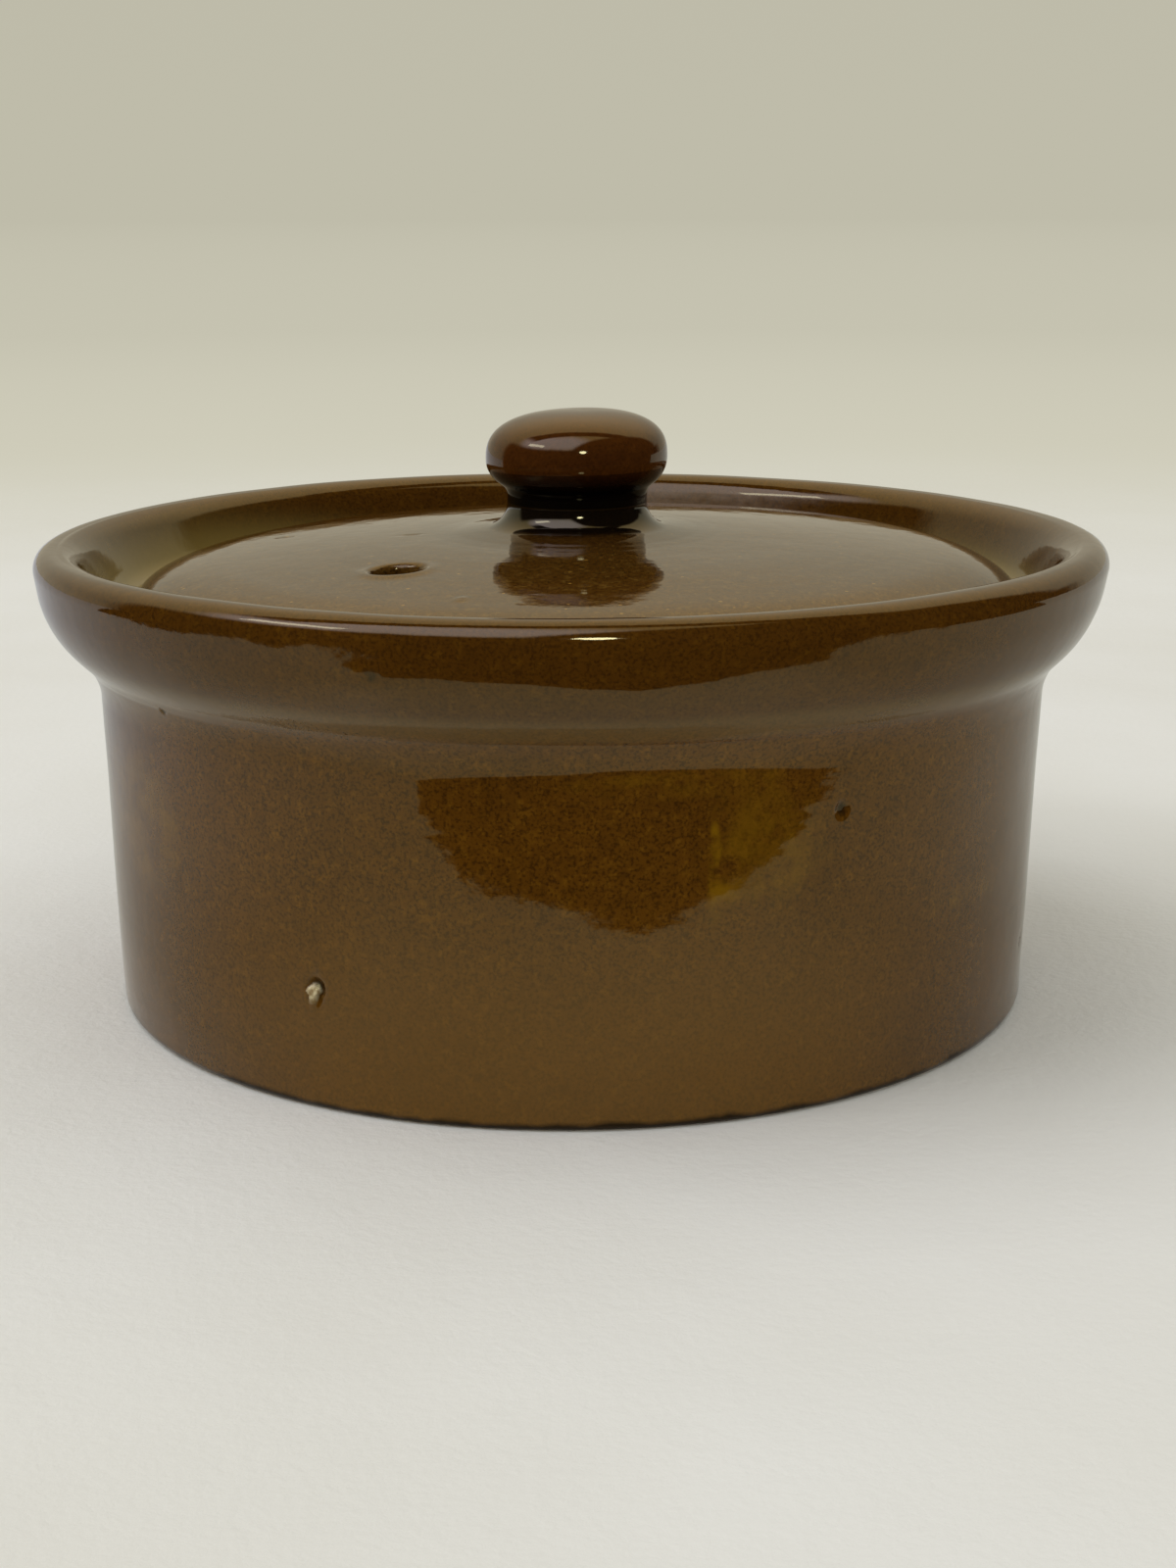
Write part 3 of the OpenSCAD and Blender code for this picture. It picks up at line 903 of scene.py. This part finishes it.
def lid_glaze():
    n = glaze("lid_glaze", base=rgb(80, 52, 15), warm=rgb(89, 59, 19), dark=rgb(42, 24, 7),
              gold=rgb(132, 100, 44))
    across, back, _ = n.place()
    reach = n.math("SQRT", n.plus(n.times(across, across), n.times(back, back)))
    n.paint(n.soft(reach, *LID_DARK), rgb(44, 24, 6), 0.5)
    n.paint(n.dots(LID_DOTS, LID_DOT_SIZE), rgb(168, 126, 52), 0.6)
    # painted shade: the flare under the knob painted nearly black, over gathered glaze
    n.paint(n.tone("pool_and_shade"), rgb(10, 6, 4), 0.95)
    n.paint(n.times(n.tone("under"), n.span(n.noise(70), 0.3, 0.7, 0.1, 0.5)), rgb(150, 120, 80))
    return n.material


def knob_glaze():
    n = glaze("knob_glaze", base=rgb(64, 33, 8), warm=rgb(76, 41, 10), dark=rgb(34, 15, 4),
              gold=rgb(100, 58, 16), gold_share=0.25, fleck_share=0.35)
    # painted shade: the neck under the bulb painted nearly black, over thick glaze
    n.paint(n.tone("pool_and_shade"), rgb(7, 4, 3))
    n.set("Specular IOR Level", 0.45)
    return n.material


def knob_shaded_under_glaze():
    """Darker copy of the knob's glaze under the knob: thick glaze, darkened as painted shade under the bulb,
    which mirrors less.
    """
    # painted shade: the knob's glaze in darker colours for its underside
    n = glaze("knob_shaded_under_glaze", base=rgb(46, 23, 6), warm=rgb(54, 28, 8), dark=rgb(20, 9, 4),
              gold=rgb(80, 46, 14), gold_share=0.2, fleck_share=0.35)
    n.paint(n.tone("pool_and_shade"), rgb(5, 4, 4))
    n.set("Specular IOR Level", 0.12)
    return n.material


def bare_clay():
    n = Material("bare_clay")
    grain = n.noise(900, 4)
    tone = n.plus(n.times(grain, 0.7), n.times(n.noise(60), 0.3))
    n.set("Base Color", n.mix(n.span(tone, 0.36, 0.64), rgb(118, 96, 70), rgb(190, 170, 138)))
    n.set("Roughness", 0.85)
    n.bump(grain, 0.4)
    return n.material


# Stage, light and camera

CLOTH, CLOTH_DARK = rgb(245, 245, 243), rgb(238, 237, 232)
# The cloth as the glaze mirrors it, and at the left with the window's bluish light painted on it. Then where
# these begin and are full, in
# metres: to the left of the dish, away from its middle and to its sides
CLOTH_MIRRORED, CLOTH_WINDOW_LIT = rgb(211, 211, 205), rgb(216, 219, 228)
WINDOW_LIT_SPAN, MIRRORED_AWAY, MIRRORED_ASIDE = (-0.05, -0.2), (0.09, 0.16), (0.045, 0.1)
# Waves per metre of the cloth's tone, grain and creases, and how much higher the creases are than the grain
CLOTH_TONE, CLOTH_GRAIN, CLOTH_CREASES, CLOTH_CREASE_TIMES = 7, 750, 28, 6.0
# The backdrop that the camera sees, and where the cloth runs into it and changes its colour, in metres
BACKDROP_NEAR, BACKDROP = rgb(210, 207, 189), rgb(198, 195, 177)
BACKDROP_LOW, BACKDROP_TOP = rgb(191, 188, 170), rgb(188, 185, 168)
RUNS_INTO, NEAR_TO_FAR, FAR_TO_LOW = (0.22, 0.75), (0.4, 1.5), (1.1, 7.0)
# Light of the room on matt surfaces, and what the glaze mirrors of it
ROOM_LIGHT = (0.66, 0.65, 0.595, 1)
ROOM_WALL, ROOM_CEILING = (0.5, 0.46, 0.35, 1), (1.4, 1.05, 0.62, 1)
WINDOW_GLOW, DIM_ROOM = (2.6, 2.35, 3.3, 1), (0.02, 0.017, 0.014, 1)
# Middles of the window's glow and of the dim side: degrees to the right of the camera's side, elevation.
# Then how many degrees from there the glow ends and is full
GLOW_LEFT, GLOW_RIGHT, DIM_SIDE = (-62, 50), (-30, 56), (53, 0)
GLOW_END, GLOW_FULL = 32, 10
# Where other parts of the room begin and are full, as shares of a direction: its ceiling, dim side, dim
# front and dim lower right, a beam in the ceiling with its middle, and the backdrop's top
CEILING_UP, DIM_SIDE_NEAR = (0.2, 0.95), (0.32, 0.44)
FRONT_UP, FRONT_BACK = (0.6, 0.45), (0.38, 0.2)
RIGHT_UP, RIGHT_ACROSS, RIGHT_BACK = (0.24, 0.14), (0.5, 0.65), (0.7, 0.5)
BEAM_UP, BEAM_HALF, BEAM_MIDDLE = (0.7, 0.82), (0.17, 0.1), 0.05
BACKDROP_UP = (0.0, 0.2)
# Lamps: degrees to the right of the camera's side, elevation, distance in metres. Then the point that these
# are counted from, and the point that the lamps face
WINDOW_AT, SOFT_KEY_AT, SPARK_AT = (-67, 41, 1.5), (-85, 58, 1.5), (5, 26, 0.7)
LAMPS_ROUND, LAMPS_FACE = (0, 0, 0.05), (0, 0, 0.03)

# The floor: radius in metres, and sides of its outline
FLOOR_REACH, FLOOR_SIDES = 8.0, 96
# Edge of the cloth that the glaze mirrors, from left to right: place in mm, and where the dim floor beyond it
# runs to, in degrees to the right of the camera's side. Then its reach in mm
DIM_EDGE = (
    (-260, 60, -106), (-192, -88, -88), (-150, -122, -68), (-136, -146, -53),
    (-112, -172, -42), (-97, -167, -37), (-80, -149, -30), (-45, -131, -20),
    (-10, -126, -6), (19, -112, 12), (52, -112, 30), (88, -112, 45),
    (126, -118, 57), (156, -115, 66), (192, -92, 84), (290, 70, 108),
)
DIM_REACH = 7900

# The camera, fitted to the photograph's outlines: focal length and height in its pixels, eye in mm, turns in
# radians. Then the height of its sensor in mm
FOCAL_PX, PHOTO_ROWS = 2482.6, 1600
EYE = (0.0, -320.96, 105.38)
PITCH, YAW, ROLL = 0.24235, 0.00681, 0.00406
SENSOR = 36.0


def cloth():
    """Pale woven cloth. Far off, the camera sees it run into the backdrop."""
    n = Material("cloth")
    path = n.add("LightPath").outputs
    across, _, _ = n.place()
    away = n.add("VectorMath", {0: n.where}, operation="LENGTH").outputs["Value"]
    n.set("Base Color", n.mix(n.span(n.noise(CLOTH_TONE), 0.35, 0.65), CLOTH_DARK, CLOTH))
    aside = n.soft(n.math("ABSOLUTE", across), *MIRRORED_ASIDE)
    # painted light: the cloth as mirrored turns bluish at the left, as if lit by the window
    mirrored = n.mix(n.soft(across, *WINDOW_LIT_SPAN), CLOTH_MIRRORED, CLOTH_WINDOW_LIT)
    n.paint(n.greatest(n.soft(away, *MIRRORED_AWAY), aside), mirrored, path["Is Glossy Ray"])
    n.set("Roughness", 0.95)
    n.set("Specular IOR Level", 0.1)
    n.bump(n.plus(n.noise(CLOTH_GRAIN), n.times(n.noise(CLOTH_CREASES), CLOTH_CREASE_TIMES)), 0.4)
    far = n.mix(n.span(away, *NEAR_TO_FAR), BACKDROP_NEAR, BACKDROP)
    far = n.add("Emission", {"Color": n.mix(n.span(away, *FAR_TO_LOW), far, BACKDROP_LOW)})
    seen_far = n.times(n.soft(away, *RUNS_INTO), path["Is Camera Ray"])
    both = n.add("MixShader", {0: seen_far, 1: n.shader.outputs[0], 2: far.outputs[0]})
    n.put(n.tree.nodes["Material Output"].inputs["Surface"], both.outputs[0])
    return n.material


def matt(name, colour):
    n = Material(name)
    n.set("Base Color", colour)
    n.set("Roughness", 1.0)
    n.set("Specular IOR Level", 0.0)
    return n.material


def stage_mesh(name, points, faces, material):
    mesh = bpy.data.meshes.new(name)
    mesh.from_pydata(points, [], faces)
    mesh.materials.append(material)
    obj = linked(name, mesh)
    return obj


def make_floor():
    turn = [2 * math.pi * k / FLOOR_SIDES for k in range(FLOOR_SIDES)]
    ring = [(FLOOR_REACH * math.cos(a), FLOOR_REACH * math.sin(a), 0) for a in turn]
    stage_mesh("floor", ring, [list(range(FLOOR_SIDES))], cloth())


def make_dim_floor():
    """The floor beyond the edge of the table, out of the picture, which the glaze mirrors."""
    near = [(x, y) for x, y, _ in DIM_EDGE]
    ways = [math.radians(degrees) for _, _, degrees in DIM_EDGE]
    far = [(DIM_REACH * math.sin(a), -DIM_REACH * math.cos(a)) for a in ways]
    points = [(x * MM, y * MM, MM) for x, y in near + far]
    n = len(near)
    faces = [(k, k + 1, n + k + 1, n + k) for k in range(n - 1)]
    dim_floor = stage_mesh("dim_floor", points, faces, matt("dim_floor", DIM_ROOM))
    dim_floor.visible_camera = False
    dim_floor.visible_diffuse = False
    dim_floor.visible_shadow = False


def seen_at(degrees, elevation, distance=1.0):
    """Way to a place so many degrees to the right of the camera's side, at an elevation."""
    a, e = math.radians(degrees), math.radians(elevation)
    flat = distance * math.cos(e)
    return Vector((flat * math.sin(a), -flat * math.cos(a), distance * math.sin(e)))


def make_room():
    """The backdrop for the camera, the room that the glaze mirrors, and plain light for all else."""
    world = bpy.data.worlds.new("room")
    bpy.context.scene.world = world
    world.use_nodes = True
    n = Nodes(world.node_tree)
    toward = n.add("TexCoord").outputs["Generated"]

    def near_to(degrees, elevation):
        """Cosine of the angle to a direction."""
        inputs = {0: toward, 1: seen_at(degrees, elevation)}
        return n.add("VectorMath", inputs, operation="DOT_PRODUCT").outputs["Value"]

    # shares of the direction that a ray goes in: to the right, to the back and up
    across, back, up = n.add("SeparateXYZ", {0: toward}).outputs
    walls = n.mix(n.soft(up, *CEILING_UP), ROOM_WALL, ROOM_CEILING)
    glow = n.greatest(near_to(*GLOW_LEFT), near_to(*GLOW_RIGHT))
    glow = n.soft(glow, math.cos(math.radians(GLOW_END)), math.cos(math.radians(GLOW_FULL)))
    lit = n.mix(glow, walls, WINDOW_GLOW)
    dim_side = n.soft(near_to(*DIM_SIDE), *DIM_SIDE_NEAR)
    dim_front = n.times(n.soft(up, *FRONT_UP), n.soft(back, *FRONT_BACK))
    right = n.times(n.soft(across, *RIGHT_ACROSS), n.soft(back, *RIGHT_BACK))
    low_right = n.times(n.soft(up, *RIGHT_UP), right)
    from_beam = n.math("ABSOLUTE", n.math("SUBTRACT", back, BEAM_MIDDLE))
    beam = n.times(n.soft(from_beam, *BEAM_HALF), n.soft(up, *BEAM_UP))
    mirrored = n.mix(n.greatest(dim_side, dim_front, low_right, beam), lit, DIM_ROOM)
    path = n.add("LightPath").outputs
    light = n.mix(path["Is Glossy Ray"], ROOM_LIGHT, mirrored)
    seen = n.mix(n.soft(up, *BACKDROP_UP), BACKDROP_LOW, BACKDROP_TOP)
    n.put(n.tree.nodes["Background"].inputs["Color"], n.mix(path["Is Camera Ray"], light, seen))


def lamp(name, kind, place, **settings):
    """Lamp that shines on the dish from a place round it, unseen by the camera."""
    data = bpy.data.lights.new(name, kind)
    for key, value in settings.items():
        setattr(data, key, value)
    obj = linked(name, data)
    obj.location = Vector(LAMPS_ROUND) + seen_at(*place)
    obj.rotation_euler = (Vector(LAMPS_FACE) - obj.location).to_track_quat("-Z", "Y").to_euler()
    obj.visible_camera = False
    return obj


def make_lamps():
    """The window, soft light from its side on matt surfaces, and a small lamp that only the glaze mirrors."""
    lamp("window", "AREA", WINDOW_AT, shape="RECTANGLE", size=0.55, size_y=0.16, energy=1.8,
         color=(0.95, 0.93, 1.0))
    soft_key = lamp("soft_key", "SUN", SOFT_KEY_AT, energy=0.5, angle=math.radians(50),
                    color=(0.98, 0.98, 1.0))
    soft_key.visible_glossy = False
    spark = lamp("spark", "AREA", SPARK_AT, shape="DISK", size=0.1, energy=0.6, color=(1, 0.97, 0.9))
    spark.visible_diffuse = False


def make_camera():
    data = bpy.data.cameras.new("camera")
    data.sensor_fit = "VERTICAL"
    data.sensor_height = SENSOR
    data.lens = FOCAL_PX * SENSOR / PHOTO_ROWS
    data.clip_start = 0.01
    data.clip_end = 50
    camera = linked("camera", data)
    flat = math.cos(PITCH)
    forward = Vector((math.sin(YAW) * flat, math.cos(YAW) * flat, -math.sin(PITCH)))
    level = Vector((math.cos(YAW), -math.sin(YAW), 0))
    below = forward.cross(level)
    right = level * math.cos(ROLL) + below * math.sin(ROLL)
    down = below * math.cos(ROLL) - level * math.sin(ROLL)
    turn = Matrix((right, -down, -forward)).transposed()
    camera.matrix_world = Matrix.Translation([v * MM for v in EYE]) @ turn.to_4x4()
    bpy.context.scene.camera = camera


make_dish([dish_glaze(), bare_clay()])
make_lid([lid_glaze()])
make_knob([knob_glaze(), knob_shaded_under_glaze()])
make_floor()
make_dim_floor()
make_room()
make_lamps()
make_camera()
bpy.context.scene.view_settings.view_transform = "Standard"
